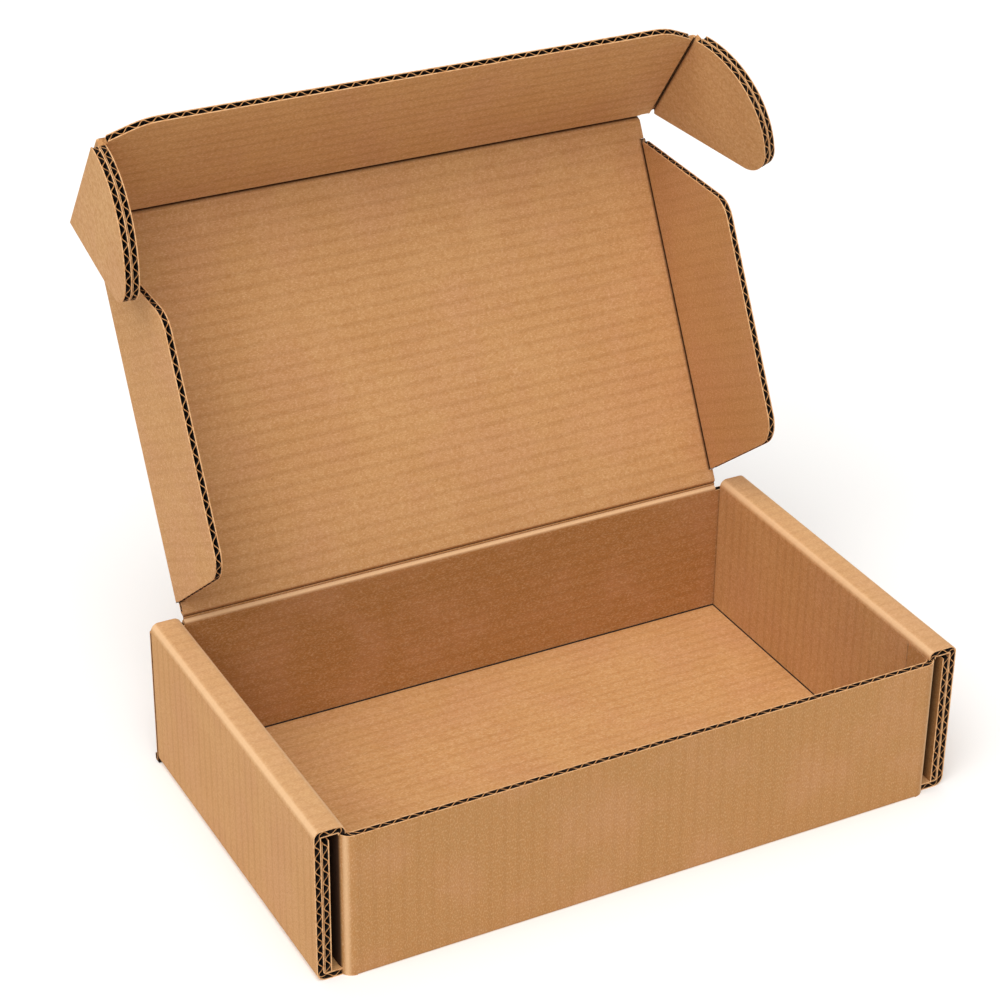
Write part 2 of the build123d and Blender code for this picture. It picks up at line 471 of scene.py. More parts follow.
@dataclass(frozen=True)
class CrushedStrip:
    """The end of a panel along a crease that moves, rounded back where it folds to.

    Args:
        rubbed: rub and painted highlight on its shoulders.
        dark: how deep in painted shade its tip is; below zero, how much rub and painted highlight
            it takes instead.
        brow: from the cut to where the face begins to fall.
        brow_wear: its rub and painted highlight, as a share of the shoulder's.
        shoulder: from the cut to the shoulder.
        drop: how far the shoulder lies under the face.
        flank: where the flank bends, as a share of the way to the cut.
        flank_height: its height there, as a share of half the board.
        flank_dark: its painted shade there, as a share of the tip's.
    """

    rubbed: float = 0.15
    dark: float = 1.0
    brow: float = 0.6
    brow_wear: float = 0.6
    shoulder: float = 0.15
    drop: float = 0.16
    flank: float = 0.75
    flank_height: float = 0.55
    flank_dark: float = 0.2

    def side(self, angle: float) -> list[tuple[float, float, float]]:
        """One side, from where its face begins to fall to its flank.

        Args:
            angle: the furthest that the crease folds to this side, in degrees.

        Returns:
            Distance from the crease, height over the mid-plane, and the painted light of each
            point: rub and painted highlight above zero, painted shade below zero.
        """
        if not angle:
            return [(0.0, BOARD.half, NO_WEAR_OR_LIGHT)]
        cut = Fold.cut(angle)
        bend = BOARD.gap + (cut - BOARD.gap) * self.flank
        return [(cut + self.brow, BOARD.half, self.rubbed * self.brow_wear),
                (cut + self.shoulder, BOARD.half - self.drop, self.rubbed),
                (bend, BOARD.half * self.flank_height, self.rubbed - self.dark * self.flank_dark)]

    def add(self, draft: Draft, surface: Surface, start: float, end: float, fold: Fold) -> None:
        """Adds the strip to a panel.

        Args:
            draft: the panel.
            surface: first coordinate from the crease into the panel, second along the crease.
            start: where the crease begins.
            end: where it ends.
            fold: how far the crease turns.
        """
        root = (fold.reach, BOARD.half, NO_WEAR_OR_LIGHT)
        upper = [root, *self.side(fold.inner)]
        lower = [(u, -w, wear) for u, w, wear in [*self.side(fold.outer)[::-1], root]]
        # The tip takes painted shade, and the face that closes the section inside the board takes
        # the flutes' painted shade.
        points = [*upper, (BOARD.gap, 0.0, -self.dark), *lower]
        tones = [Tone.LINER] * (len(points) - 1) + [Tone.HOLLOW]
        section, wear = [point[:2] for point in points], [point[2] for point in points]
        draft.prism(section, start, end, surface, tones, wear)


@dataclass
class BentBoard:
    """Board that follows a route in a plane, run along the third direction.

    Args:
        route: its mid-plane in section.
        low: where it begins along the third direction.
        high: where it ends.
        place: turns section x, section y and the third direction into the row frame.
        shade: painted light added at a point of the route, from its direction and the side of the
            board: lighter above zero, painted shade below zero.
        seam: how far the upper face stands back from a ply that lies against it.
    """

    route: Route
    low: float
    high: float
    place: Matrix
    shade: Shade = lambda point, direction, off: NO_WEAR_OR_LIGHT
    seam: float = 0.0

    def surface(self, along: float, across: float, off: float) -> Vector:
        """Where a point lies: along the route, along the third direction, off the mid-plane."""
        point, direction = self.route.at(along)
        spot = point + turned(direction, math.pi / 2) * off
        return self.place @ Vector((spot.x, spot.y, across)) * MM

    def add(self, draft: Draft) -> None:
        """Adds both liners."""
        spots, ends = self.route.spots, (self.low, self.high)
        h, t = BOARD.half, BOARD.liner
        # The liners' faces inside the board take the flutes' painted shade.
        for low, high, faces in ((-h, t - h, (Tone.LINER, Tone.HOLLOW)),
                                 (h - t, h - self.seam, (Tone.HOLLOW, Tone.LINER))):
            off = low + h - t
            # Painted light at each sample: the fold's rub and painted highlight plus the piece's
            # own painted light.
            wear = [rubbed + self.shade(point, way, off) for _, point, way, rubbed in spots]
            rows = {(w, v): [self.surface(spot[0], v, w) for spot in spots]
                    for w in (low, high) for v in ends}
            for w, tone in zip((low, high), faces):
                draft.grid([rows[w, v] for v in ends], tone, wear)
            for v in ends:
                draft.grid([rows[low, v], rows[high, v]], Tone.RAW, wear)
            for end in (0, -1):
                near, far = ([rows[w, v][end] for w in (low, high)] for v in ends)
                draft.plate([*near, *far[::-1]], Tone.RAW)

    def edge(self, at: float) -> Rim:
        """The rim along the route at one end of the third direction."""
        inward = Vector((0, 1 if at == self.low else -1))
        return lambda along: (Vector((along, at)), inward)

    def end(self, along: float) -> Rim:
        """The rim across the board at one end of the route."""
        inward = Vector((1 if along < self.route.length / 2 else -1, 0))
        return lambda across: (Vector((along, across)), inward)


@dataclass
class FlatBoard:
    """A flat panel whose outline is a route closed by its creased side.

    Args:
        rim: the cut edges, run with the panel on their left.
        place: turns panel coordinates into the row frame; the third points to the box's inside.
        middle: height of the ply's mid-plane over the panel's plane.
        seam: how far its lower face stands back from a ply that lies against it.
    """

    rim: Route
    place: Matrix
    middle: float = 0.0
    seam: float = 0.0

    def surface(self, u: float, v: float, w: float) -> Vector:
        """Where a point of the panel lies."""
        return self.place @ Vector((u, v, w)) * MM

    def add(self, draft: Draft, spans: Sequence[tuple[float, float]], seed: int) -> None:
        """Adds both liners, and open flutes along spans of the rim.

        Args:
            draft: the piece.
            spans: distances along the rim between which flutes show.
            seed: of the flutes' unevenness.
        """
        h, t, m = BOARD.half, BOARD.liner, self.middle
        # The liners' faces inside the board take the flutes' painted shade.
        for low, high, tones in ((self.seam - h, t - h, (Tone.LINER, Tone.HOLLOW, Tone.RAW)),
                                 (h - t, h, (Tone.HOLLOW, Tone.LINER, Tone.RAW))):
            draft.slab(self.rim.ring, m + low, m + high, self.surface, tones)
        for number, (start, end) in enumerate(spans):
            add_flutes(draft, self.surface, self.inward, start, end, seed + number, self.middle)

    def inward(self, along: float) -> tuple[Vector, Vector]:
        """Point of the rim and the way into the panel there."""
        point, direction = self.rim.at(along)
        return point, turned(direction, math.pi / 2)


def hex_colour(code: str) -> Colour:
    """An sRGB hex value as linear red, green, blue and alpha.

    Args:
        code: six hex digits after a number sign.

    Returns:
        Linear components and an alpha of 1.
    """
    parts = [int(code[index:index + 2], 16) / 255 for index in (1, 3, 5)]
    linear = [p / 12.92 if p <= 0.04045 else ((p + 0.055) / 1.055) ** 2.4 for p in parts]
    return (*linear, 1.0)


def add_node(tree: Tree, kind: str, links: dict | None = None, **settings) -> bpy.types.Node:
    """Adds a shader node.

    Args:
        tree: the material's nodes.
        kind: the node's type, without its prefix.
        links: for each input, by name or number, a value or another node's output.
        settings: the node's own properties.

    Returns:
        The new node.
    """
    node = tree.nodes.new("ShaderNode" + kind)
    for name, value in settings.items():
        setattr(node, name, value)
    for socket, value in (links or {}).items():
        if isinstance(value, Socket):
            tree.links.new(value, node.inputs[socket])
        else:
            node.inputs[socket].default_value = value
    return node


def new_material(name: str) -> tuple[bpy.types.Material, Tree, Socket]:
    """A material without nodes, its tree, and the coordinates of the object that it is on."""
    made = bpy.data.materials.new(name)
    made.use_nodes = True
    made.node_tree.nodes.clear()
    return made, made.node_tree, add_node(made.node_tree, "TexCoord").outputs["Object"]


def add_surface(tree: Tree, links: dict) -> None:
    """Ends a material with one matt surface."""
    shader = add_node(tree, "BsdfPrincipled", links)
    add_node(tree, "OutputMaterial", {"Surface": shader.outputs[0]})


def ramp(tree: Tree, value: Socket, low: float, high: float, start: float, end: float) -> Socket:
    """A value mapped from one range to another, with soft ends."""
    links = {"Value": value, "From Min": low, "From Max": high, "To Min": start, "To Max": end}
    return add_node(tree, "MapRange", links, interpolation_type="SMOOTHSTEP").outputs[0]


def mix(tree: Tree, share: Socket, first: Socket | Colour, second: Colour) -> Socket:
    """Two colours mixed by a share."""
    return add_node(tree, "Mix", {0: share, 6: first, 7: second}, data_type="RGBA").outputs[2]


def per_mm(size: float) -> float:
    """A pattern's scale in metres' coordinates, for features of a size in millimetres."""
    return 1 / (size * MM)


@dataclass(frozen=True)
class KraftLiner:
    """Unbleached kraft liner, machine-glazed on neither side.

    It is matt and warm brown. Fibres give it a fine grain, the pulp is cloudy, and the medium's
    glue lines show through as faint washboard bands a flute apart. It also takes painted light
    from the mesh: painted highlights on folds and painted shade in creases, slots and gaps.

    Args:
        name: the material's name.
        across: direction over the flutes.
        along: direction of the flutes.
        tint: its colour.
        shade: the pulp's darker clouds and mottles.
        blush: redder patches.
        rubbed: raised fibres, and the rub and painted highlight on folds.
        glue: the washboard bands.
        speck: bits of bark.
        scored: painted shade deep in a crease, slot or gap.
        bands: strength of the washboard.
        patch: size of the redder patches in millimetres.
        cloud: size of the clouds.
        mottle: size of the mottles.
        fibre: size of the grain.
        spacing: from one possible speck to the next.
        drift: how far the clouds push the bands about, in radians.
        roughness: of the surface.
        ior: its index of refraction.
        gloss: its specular level.
    """

    name: str
    across: Vector
    along: Vector
    tint: str = "#C89966"
    shade: str = "#B27C46"
    blush: str = "#C28C66"
    rubbed: str = "#E6BE92"
    glue: str = "#94622F"
    speck: str = "#7A4F2C"
    scored: str = "#2E1708"
    bands: float = 0.5
    patch: float = 41.0
    cloud: float = 24.0
    mottle: float = 1.25
    fibre: float = 0.5
    spacing: float = 15.0
    drift: float = 0.7
    roughness: float = 0.86
    ior: float = 1.45
    gloss: float = 0.3

    def make(self) -> bpy.types.Material:
        """Builds the material on coordinates that lie in the panel."""
        made, tree, place = new_material(self.name)
        directions = (self.across, self.along, self.across.cross(self.along))
        parts = [add_node(tree, "VectorMath", {0: place, 1: way}, operation="DOT_PRODUCT")
                 for way in directions]
        parts = [part.outputs["Value"] for part in parts]
        panel = add_node(tree, "CombineXYZ", dict(enumerate(parts))).outputs[0]
        cloud = self.noise(tree, panel, self.cloud, 1.0, 4.0)
        patch = self.noise(tree, panel, self.patch, 1.0, 3.0)
        mottle = self.noise(tree, panel, self.mottle, 0.7, 5.0)
        fibre = self.noise(tree, panel, self.fibre, 0.45, 3.0)
        wave = self.washboard(tree, parts[0], cloud)
        wear = add_node(tree, "Attribute", attribute_name="wear").outputs["Fac"]
        specks = add_node(tree, "TexVoronoi", {"Vector": panel, "Scale": per_mm(self.spacing)})
        # Each layer of colour: its pattern, the values that it runs between, its share at each, its
        # colour. The last two are painted light.
        stains_and_light = ((cloud, 0.35, 0.68, 0.0, 0.24, self.shade),
                  (patch, 0.42, 0.66, 0.0, 0.40, self.blush),
                  (mottle, 0.36, 0.66, 0.0, 0.58, self.shade),
                  (fibre, 0.46, 0.70, 0.0, 0.34, self.rubbed),
                  (wave, 0.0, 1.0, 0.0, 0.46 * self.bands, self.glue),
                  (specks.outputs["Distance"], 0.014, 0.024, 0.7, 0.0, self.speck),
                  # Painted light from the mesh: rub and painted highlight above zero, painted shade
                  # below zero.
                  (wear, 0.0, 1.0, 0.0, 0.7, self.rubbed),
                  (wear, -1.0, 0.0, 0.97, 0.0, self.scored))
        colour = hex_colour(self.tint)
        for *pattern, layer_colour in stains_and_light:
            colour = mix(tree, ramp(tree, *pattern), colour, hex_colour(layer_colour))
        links = {}
        # Each relief: its pattern, its depth in millimetres and its strength.
        reliefs = ((wave, 0.05, self.bands), (mottle, 0.10, 0.5), (fibre, 0.05, 0.6))
        for height, depth, strength in reliefs:
            links |= {"Height": height, "Distance": depth * MM, "Strength": strength}
            links["Normal"] = add_node(tree, "Bump", links).outputs[0]
        add_surface(tree, {"Base Color": colour, "Roughness": self.roughness, "IOR": self.ior,
                           "Specular IOR Level": self.gloss, "Normal": links["Normal"]})
        return made

    @staticmethod
    def noise(tree: Tree, panel: Socket, size: float, squeeze: float, detail: float) -> Socket:
        """Noise with features of a size in millimetres, drawn out along the flutes."""
        place = add_node(tree, "VectorMath", {0: panel, 1: (1, squeeze, 1)}, operation="MULTIPLY")
        links = {"Vector": place.outputs[0], "Scale": per_mm(size), "Detail": detail,
                 "Roughness": 0.6}
        return add_node(tree, "TexNoise", links).outputs["Fac"]

    def washboard(self, tree: Tree, across: Socket, cloud: Socket) -> Socket:
        """Bands a flute apart, from 0 to 1, that fade in and out with the cloudiness."""
        turns = math.tau * per_mm(BOARD.pitch)
        phase = add_node(tree, "Math", {0: across, 1: turns}, operation="MULTIPLY").outputs[0]
        links = {0: cloud, 1: self.drift, 2: phase}
        phase = add_node(tree, "Math", links, operation="MULTIPLY_ADD").outputs[0]
        sine = add_node(tree, "Math", {0: phase}, operation="SINE").outputs[0]
        band = ramp(tree, sine, 0.1, 1.0, 0.0, 1.0)
        fade = ramp(tree, cloud, 0.36, 0.62, 0.55, 1.0)
        return add_node(tree, "Math", {0: band, 1: fade}, operation="MULTIPLY").outputs[0]


@dataclass(frozen=True)
class CutEdge:
    """Die-cut kraft: the blade tears its fibres, which leaves them lighter than the face."""

    name: str = "die_cut_liner"
    tint: str = "#DFAE7C"
    shade: str = "#BF8550"
    fibre: float = 1.6
    roughness: float = 0.95

    def make(self) -> bpy.types.Material:
        """Builds the material, with fibres as fine as show."""
        made, tree, place = new_material(self.name)
        links = {"Vector": place, "Scale": per_mm(self.fibre), "Detail": 4.0}
        grain = add_node(tree, "TexNoise", links).outputs["Fac"]
        colour = mix(tree, ramp(tree, grain, 0.42, 0.66, 0.0, 0.8), hex_colour(self.tint),
                     hex_colour(self.shade))
        relief = add_node(tree, "Bump", {"Height": grain, "Distance": 0.1 * MM}).outputs[0]
        add_surface(tree, {"Base Color": colour, "Roughness": self.roughness, "Normal": relief})
        return made


@dataclass(frozen=True)
class FluteHollow:
    """The inside of the flutes: semichemical medium, deep in shade, so it reads as brown black."""

    tint: str = "#2A1608"
    deep: str = "#120903"
    streak: float = 2.5
    roughness: float = 0.95

    def make(self) -> bpy.types.Material:
        """Builds the material, with the glue's streaks in it."""
        made, tree, place = new_material("flute_hollow")
        links = {"Vector": place, "Scale": per_mm(self.streak), "Detail": 3.0}
        grain = add_node(tree, "TexNoise", links).outputs["Fac"]
        colour = mix(tree, grain, hex_colour(self.tint), hex_colour(self.deep))
        add_surface(tree, {"Base Color": colour, "Roughness": self.roughness})
        return made


@dataclass
class Wardrobe:
    """The finishes that the panels share."""

    raw: bpy.types.Material = field(default_factory=lambda: CutEdge().make())
    hollow: bpy.types.Material = field(default_factory=lambda: FluteHollow().make())
    medium: bpy.types.Material = field(
        default_factory=lambda: CutEdge("die_cut_medium", "#C08A55", "#94602F").make())

    def dress(self, draft: Draft, name: str, liner: KraftLiner) -> bpy.types.Object:
        """Makes a piece in its finishes, in the order of Tone."""
        return draft.finish(name, [liner.make(), self.raw, self.hollow, self.medium])


def settle(piece: bpy.types.Object, body: str, node: str | None = None) -> None:
    """Hangs a piece on its body and stands it in for its node."""
    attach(piece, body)
    if node:
        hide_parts(node)
    LOG.info("%s rides on %s", piece.name, body)


X, Y, Z = Vector((1, 0, 0)), Vector((0, 1, 0)), Vector((0, 0, 1))


def axes(origin: Vector, first: Vector, second: Vector, third: Vector) -> Matrix:
    """A place given by its origin and where its three directions point."""
    return Matrix.Translation(origin) @ Matrix((first, second, third)).transposed().to_4x4()


UPRIGHT, LEVEL = axes(Vector(), X, Z, Y), axes(Vector(), X, Y, Z)


def along_x(u: float, v: float, w: float) -> Vector:
    """A section in Y and Z, run along X."""
    return Vector((v, u, w)) * MM


def along_y(u: float, v: float, w: float) -> Vector:
    """A section in X and Z, run along Y."""
    return Vector((u, v, w)) * MM


def along_z(u: float, v: float, w: float) -> Vector:
    """A section in X and Y, run along Z."""
    return Vector((u, w, v)) * MM


@dataclass
class Tray:
    """Floor and walls, folded from one sheet, with rolled-over side walls.

    Args:
        wardrobe: the finishes.
        creases: the creases that move.
        width: outside, over the side walls.
        depth: outside, front to back.
        height: of the side walls.
        slot: beside the front wall, for an ear.
        setback: from the front wall's face to the side walls' edges.
        front_drop: from the side walls' top to the front wall's.
        back_inset: from the side walls' faces to the back wall's ends.
        turn_in: how far the front wall's ends turn back.
        butt: gap where two edges meet.
        lip: how far an inner wall laps the front wall's top.
        front_bend: mid-plane radius of the front wall's ends.
        overlap: how far the fold at the front wall's foot runs into them.
        foot: radius of the folds at the walls' feet.
        keel: mid-plane radius of the side walls' folds to the floor.
        roll: radii of the back wall's ends, inside and outside.
        shaded: depth over which a long flap goes dark.
        crevice: width of the dark strip of painted shade where two panels meet.
        worn: painted light that makes the side walls' top strips lighter.
        thread: how much lighter the thread of board in the lid's crease is drawn, in the colour of
            rub and painted highlight.
        slot_fall: how fast painted shade darkens the front wall's ends as they turn into the ears'
            slots.
        slot_onset: how much of that the first of the turn takes off.
    """

    wardrobe: Wardrobe
    creases: Creases
    width: float = 300.0
    depth: float = 176.0
    height: float = 72.0
    slot: float = 3.9
    setback: float = 3.0
    front_drop: float = 4.4
    back_inset: float = 0.1
    turn_in: float = 15.0
    butt: float = 0.6
    lip: float = 0.15
    front_bend: float = 4.25
    overlap: float = 1.0
    foot: float = 0.6
    keel: float = 2.6
    roll: tuple[float, float] = (0.6, 2.3)
    shaded: float = 9.0
    crevice: float = 0.45
    worn: float = 0.34
    thread: float = 0.2
    slot_fall: float = 2.2
    slot_onset: float = 0.8

    def __post_init__(self) -> None:
        """Works out the places that follow from the sizes."""
        self.inner = self.width / 2 - 3 * BOARD.thickness - self.slot
        self.front = -self.depth / 2
        self.edge = self.front + self.setback
        self.back = self.depth / 2 - BOARD.thickness
        self.front_top = self.height - self.front_drop
        self.hinge = self.creases.hinge
        self.lid_half = abs(self.creases.flap["pos_m"][0]) / MM
        self.back_top = self.hinge.z - self.creases.lid_fold.reach

    def build(self) -> None:
        """Makes the tray's pieces."""
        self.rolled_walls()
        self.front_wall()
        self.back_wall()

    def rolled_walls(self) -> None:
        """The sheet from one side's top strip down, under the floor and up the other side."""
        h, r, margin = BOARD.half, BOARD.fold, BOARD.margin
        wall, inside, top = self.width / 2 - h, self.inner + h, self.height - h
        under = self.front_top + self.lip
        half_line = [(inside, under), (inside, top), (wall, top), (wall, h)]
        line = Route([(-x, z) for x, z in half_line] + half_line[::-1],
                     [r, r, self.keel, self.keel, r, r])
        draft = Draft()
        # The side walls' top strips take painted light, and their folds painted highlight.
        sheet = BentBoard(line, self.edge, self.back - self.butt, UPRIGHT, self.strip_wear)
        sheet.add(draft)
        shown = line.length / 2 - self.inner
        spans = ((margin, shown), (line.length - shown, line.length - margin))
        for seed, (start, end) in enumerate(spans, 3):
            add_flutes(draft, sheet.surface, sheet.edge(self.edge), start, end, seed)
        begin = self.front + BOARD.thickness + self.turn_in + self.butt
        for side in Side:
            face, floor = self.inner * side.value, BOARD.thickness
            rise = Route([(inside * side.value, floor + BOARD.gap), (inside * side.value, under)])
            inner = BentBoard(rise, begin, self.back - self.butt, UPRIGHT)
            inner.add(draft)
            add_flutes(draft, inner.surface, inner.edge(begin), margin, rise.length - margin, 5)
            # A dark strip of painted shade in the corner where the floor meets the side wall.
            corner_shade = [(face, floor), (face - self.crevice * side.value, floor),
                    (face, floor + self.crevice)]
            draft.prism(corner_shade, begin, self.back, along_y, [Tone.HOLLOW] * 3)
        liner = KraftLiner("kraft_liner_floor", Y, X, bands=0.36, tint="#C69662")
        settle(self.wardrobe.dress(draft, "tray_rolled_walls", liner), "tray", "tray")

    def front_wall(self) -> None:
        """Front wall with its ends turned back, and the fold at its foot."""
        x, y = self.inner + BOARD.half, self.front + BOARD.half
        end, bend = self.front + BOARD.thickness + self.turn_in, x - self.front_bend
        draft = Draft()
        boards = [(BentBoard(Route([(-bend, y), (bend, y)]), BOARD.thickness, self.front_top,
                             LEVEL), 11)]
        for side in Side:
            line = [(a * side.value, b) for a, b in ((bend, y), (x, y), (x, end))]
            boards.append((BentBoard(Route(line, [self.front_bend]), 0.0, self.front_top, LEVEL,
                                     self.slot_shade(side)), 12))
        for board, seed in boards:
            board.add(draft)
            rim = board.edge(self.front_top)
            add_flutes(draft, board.surface, rim, 0.0, board.route.length, seed)
        self.fold_foot(draft, self.front, -1, bend + self.overlap)
        # The front wall's tint is darker than the other panels': painted shade.
        liner = KraftLiner("kraft_liner_front", X, Z, bands=0.25, tint="#AD7E4B")
        settle(self.wardrobe.dress(draft, "tray_front_wall", liner), "tray")

    def flap_shade(self, point: Vector, direction: Vector, off: float) -> float:
        """Shade along a long flap behind its front edge, down to full dark."""
        return -min(1.0, (point.y - self.edge) / self.shaded) * (point.y < self.back)

    def strip_wear(self, point: Vector, direction: Vector, off: float) -> float:
        """Painted light on a side wall's top strip, which makes it lighter."""
        return self.worn * (point.y > self.height - BOARD.thickness)

    def slot_shade(self, side: Side) -> Shade:
        """Shade on the outside of the front wall's end, where it turns into the ear's slot."""
        def shade(point: Vector, direction: Vector, off: float) -> float:
            turn = math.degrees(math.asin(min(1.0, direction.y))) / 90
            dark = max(0.0, turn * self.slot_fall - self.slot_onset)
            return -dark if off * side.value < 0 else NO_WEAR_OR_LIGHT
        return shade

    def fold_foot(self, draft: Draft, face: float, outward: int, half: float) -> None:
        """The outer liner's round fold from a wall's face to the underside.

        Args:
            draft: the wall.
            face: where the wall's outside lies along Y.
            outward: 1 where outside is towards +Y, -1 towards -Y.
            half: half the fold's length.
        """
        t = BOARD.liner
        inside, shell = face - outward * (BOARD.thickness + t), face - outward * t / 2
        route = Route([(inside, t / 2), (shell, t / 2), (shell, BOARD.thickness)], [self.foot])
        # The fold's outside takes the painted highlight of its bend; its inside takes the flutes'
        # painted shade.
        for off, tone in ((-t / 2, Tone.LINER), (t / 2, Tone.HOLLOW)):
            line = [point + turned(direction, math.pi / 2) * off * outward
                    for _, point, direction, _ in route.spots]
            rows = [[along_x(spot.x, x, spot.y) for spot in line] for x in (-half, half)]
            draft.grid(rows, tone, [spot[3] for spot in route.spots])

    def back_wall(self) -> None:
        """Back wall with the long flaps inside the side walls, and the lid's crease."""
        h, t, margin = BOARD.half, BOARD.thickness, BOARD.margin
        x, y, top = self.width / 2 - t - h, self.back + h, self.back_top
        half_line = [(x, self.edge), (x, self.edge + self.shaded), (x, y)]
        line = Route([(-a, b) for a, b in half_line] + half_line[::-1],
                     [0.0, BOARD.fold, BOARD.fold, 0.0])
        draft = Draft()
        sheet = BentBoard(line, t, top, LEVEL, self.flap_shade, BOARD.seam)
        sheet.add(draft)
        for along, seed in ((0.0, 21), (line.length, 22)):
            add_flutes(draft, sheet.surface, sheet.end(along), t + margin, top - margin, seed)
        flap, rim = y - self.edge, sheet.edge(top)
        for start, seed in ((flap, 23), (line.length - flap - 2 * t, 24)):
            add_flutes(draft, sheet.surface, rim, start, start + 2 * t, seed)
        # The bead at the back wall's top takes a strong painted highlight, and its crease tip is
        # lighter too.
        CrushedStrip(rubbed=0.95, dark=-0.6).add(
            draft, lambda u, v, w: Vector((v, y - w, self.hinge.z - u)) * MM,
            -self.lid_half, self.lid_half, self.creases.lid_fold)
        # The thread of board in the lid's crease is drawn a touch lighter, with rub and painted
        # highlight.
        sides = 8
        core = [self.hinge.yz + turned(Vector((self.crevice, 0)), math.tau * k / sides)
                for k in range(sides)]
        # A dark strip of painted shade in the corner where the floor meets the back wall.
        corner_shade = [(self.back, t), (self.back - self.crevice, t), (self.back, t + self.crevice)]
        for ring, reach, tone in ((core, self.lid_half, Tone.LINER),
                                  (corner_shade, self.inner, Tone.HOLLOW)):
            draft.prism(ring, -reach, reach, along_x, [tone] * len(ring),
                        [self.thread] * len(ring))
        self.fold_foot(draft, self.depth / 2, 1, self.width / 2 - self.back_inset)
        for side in Side:
            self.end_roll(draft, side)
        # The back wall's tint is darker still: painted shade.
        liner = KraftLiner("kraft_liner_back", Z, X, bands=0.42, tint="#A5703B")
        settle(self.wardrobe.dress(draft, "tray_back_wall", liner), "tray")

    def end_roll(self, draft: Draft, side: Side) -> None:
        """The round end of the back wall, where it folds into a long flap."""
        near, far = self.back + self.crevice, self.depth / 2
        out, inside = self.width / 2 - self.back_inset, self.inner + 2 * BOARD.thickness
        route = Route([(inside, near), (out, near), (out, far), (inside, far)], self.roll)
        section = [(p.x * side.value, p.y) for p in route.ring]
        # The side that faces the gap to the back wall takes painted shade.
        draft.prism(section, BOARD.margin, self.back_top, along_z, [Tone.LINER] * len(section),
                    [-float(y < near + BOARD.margin) for _, y in section])


@dataclass
class Lid:
    """The lid's flat panel, between the hinge and the creases of its flaps.

    Args:
        wardrobe: the finishes.
        creases: the creases that move.
        flap_start: from the hinge to the side flaps.
        flap_end: from the side flaps to the tuck flap's crease.
        corner_margin: from a corner to the first flute.
    """

    wardrobe: Wardrobe
    creases: Creases
    flap_start: float = 7.0
    flap_end: float = 11.0
    corner_margin: float = 0.2

    def __post_init__(self) -> None:
        """Works out the panel's place."""
        self.up, self.inward = leaning(self.creases.lid_fold.rest)
        self.length = (self.creases.far - self.creases.hinge).length
        self.half = abs(self.creases.flap["pos_m"][0]) / MM
        self.place = axes(self.creases.hinge, X, self.up, self.inward)

    def build(self) -> None:
        """Makes the lid."""
        x, length, draft, strip = self.half, self.length, Draft(), CrushedStrip()
        hinge, tuck = self.creases.lid_fold, self.creases.tuck_fold
        flap, margin = self.creases.flap_fold, self.corner_margin
        foot, top = hinge.reach, length - tuck.reach
        low, high, inset = self.flap_start, length - self.flap_end, x - flap.reach
        right = [(x, foot), (x, low), (inset, low), (inset, high), (x, high), (x, top)]
        line = right + [(-a, b) for a, b in right[::-1]]
        panel = FlatBoard(Route(line, [0.0] * (len(line) - 2)), self.place)
        rise, upper, last = low - foot, low - foot + 2 * (x - inset) + high - low, panel.rim.length
        spans = ((margin, rise), (upper, upper + top - high - margin))
        spans += tuple((last - end, last - start) for start, end in spans)
        panel.add(draft, spans, seed=31)
        surface = panel.surface
        strip.add(draft, lambda u, v, w: surface(v, u, w), -x, x, hinge)
        strip.add(draft, lambda u, v, w: surface(v, length - u, w), -x, x, tuck)
        for side in Side:
            strip.add(draft, lambda u, v, w: surface(side.value * (x - u), v, w), low, high, flap)
        liner = KraftLiner("kraft_liner_lid", self.up, X, bands=0.42, tint="#C59562")
        settle(self.wardrobe.dress(draft, "lid_panel", liner), "lid", "lid")


@dataclass
class SideFlap:
    """A flap along the lid's side: a trapezoid with round free corners.

    Args:
        wardrobe: the finishes.
        lid: the lid that it hangs on.
        side: the lid's side.
        depth: from the crease to the free edge.
        low_taper: how far its end at the hinge runs in.
        high_taper: how far its other end runs in.
        corner: radius of its free corners.
    """

    wardrobe: Wardrobe
    lid: Lid
    side: Side
    depth: float = 65.0
    low_taper: float = 12.0
    high_taper: float = 38.0
    corner: float = 13.0

    def build(self) -> None:
        """Makes the flap."""
        low, high = self.lid.flap_start, self.lid.length - self.lid.flap_end
        fold, name = self.lid.creases.flap_fold, f"side_flap_{self.side.word}"
        root = fold.reach
        foot = low + root * self.low_taper / self.depth
        top = high - root * self.high_taper / self.depth
        line = [(root, foot), (self.depth, low + self.low_taper),
                (self.depth, high - self.high_taper), (root, top)]
        origin = self.lid.creases.hinge + X * self.side.value * self.lid.half
        place, out, normal = folded(origin, self.side, fold.rest, self.lid.up, self.lid.inward)
        panel = FlatBoard(Route(line, [self.corner] * 2), place)
        draft = Draft()
        panel.add(draft, ((0.0, panel.rim.length),), seed=41 + self.side.value)
        CrushedStrip().add(draft, panel.surface, foot, top, fold)
        liner = KraftLiner(f"kraft_liner_{name}", self.lid.up, out, bands=0.25, tint="#C4935F")
        settle(self.wardrobe.dress(draft, f"{name}_panel", liner), name, name)
        add_crease(self.wardrobe, f"{name}_fold", ("lid", name), origin, self.lid.up, (low, high),
                   (-self.lid.inward, -normal))


